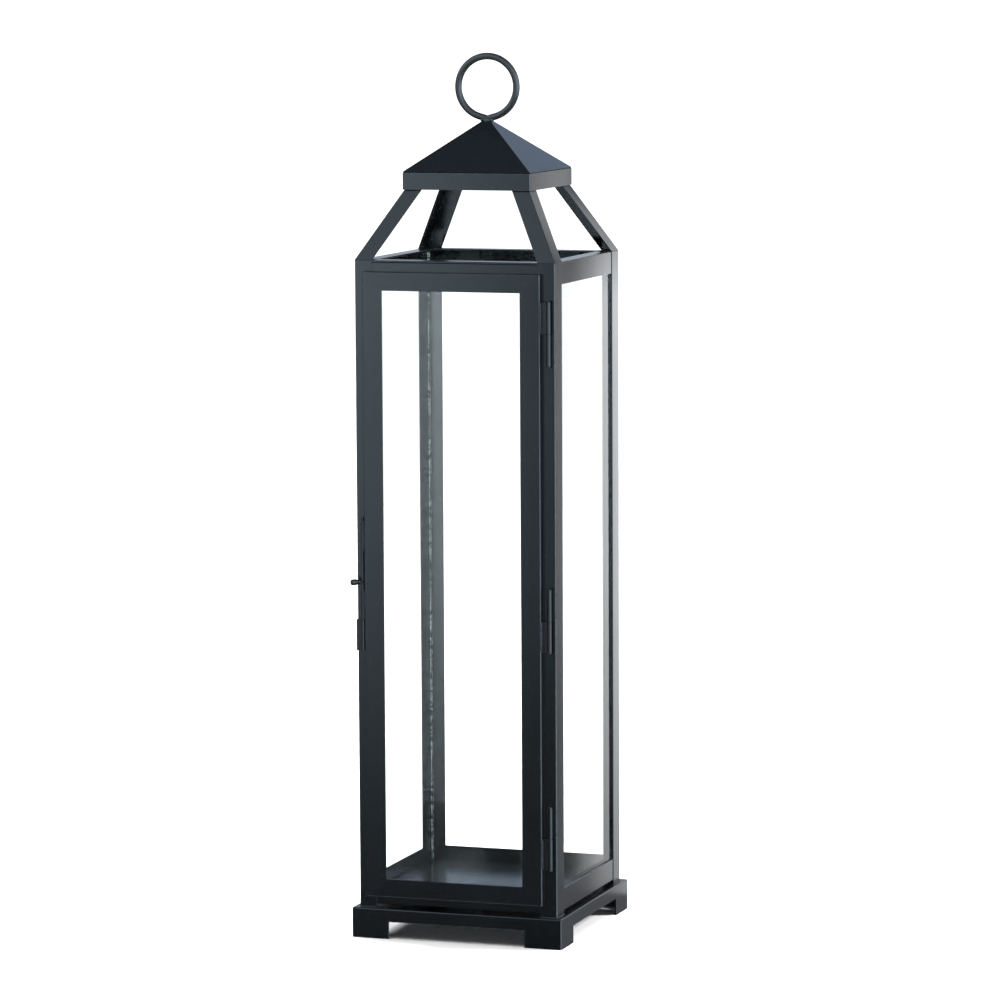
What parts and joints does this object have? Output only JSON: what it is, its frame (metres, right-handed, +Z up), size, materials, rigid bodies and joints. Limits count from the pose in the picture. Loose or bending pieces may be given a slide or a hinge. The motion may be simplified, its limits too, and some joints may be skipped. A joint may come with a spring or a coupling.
{
  "type": "hurricane candle lantern",
  "caption": "Tall square steel and glass lantern with a hinged glazed door, slide-bolt latch, open vented roof, pyramid cap and hanging ring.",
  "frame": {"origin": "on the ground at the middle of the square plinth", "axes": "+Z up, -Y is the door side, +X is the hinge side of the door"},
  "size_m": [0.159, 0.1647, 0.635],
  "materials": {
    "coated_steel": "satin blue-black powder coat",
    "glass": "clear float glass, rough-cut edges",
    "hinge_hardware": "satin black, slightly worn on the knuckles",
    "ring_wire": "satin black wire"
  },
  "bodies": {
    "lantern_frame": {"base_plinth": "coated_steel", "cap_band": "coated_steel", "cap_roof": "coated_steel", "floor_pan": "coated_steel", "front_bottom_rail": "coated_steel", "front_top_rail": "coated_steel", "glass_clips_left": "coated_steel", "glass_clips_rear": "coated_steel", "glass_clips_right": "coated_steel", "glass_left": "glass", "glass_rear": "glass", "glass_right": "glass", "hanging_ring": "ring_wire", "hinge_bottom_frame_leaf": "hinge_hardware", "hinge_bottom_pin": "hinge_hardware", "hinge_middle_frame_leaf": "hinge_hardware", "hinge_middle_pin": "hinge_hardware", "hinge_top_frame_leaf": "hinge_hardware", "hinge_top_pin": "hinge_hardware", "latch_keeper": "hinge_hardware", "left_bottom_rail": "coated_steel", "left_top_rail": "coated_steel", "post_front_left": "coated_steel", "post_front_right": "coated_steel", "post_rear_left": "coated_steel", "post_rear_right": "coated_steel", "rear_bottom_rail": "coated_steel", "rear_top_rail": "coated_steel", "right_bottom_rail": "coated_steel", "right_top_rail": "coated_steel", "roof_strut_front_left": "coated_steel", "roof_strut_front_right": "coated_steel", "roof_strut_rear_left": "coated_steel", "roof_strut_rear_right": "coated_steel"},
    "door": {"door_glass": "glass", "door_glass_clips": "coated_steel", "door_rail_bottom": "coated_steel", "door_rail_top": "coated_steel", "door_stile_left": "coated_steel", "door_stile_right": "coated_steel", "hinge_bottom_door_leaf": "hinge_hardware", "hinge_middle_door_leaf": "hinge_hardware", "hinge_top_door_leaf": "hinge_hardware", "latch_guide_lower": "hinge_hardware", "latch_guide_upper": "hinge_hardware"},
    "latch": {"latch_bolt": "hinge_hardware", "latch_knob": "hinge_hardware"}
  },
  "joints": [
    {"name": "door_hinge", "type": "hinge", "parent": "lantern_frame", "child": "door", "pos_m": [0.0708, -0.0773, 0.2357], "axis": [0, 0, 1], "range_deg": [0, 160]},
    {"name": "latch_slide", "type": "slide", "parent": "door", "child": "latch", "axis": [0, 0, 1], "range_m": [-0.0045, 0.02]}
  ]
}
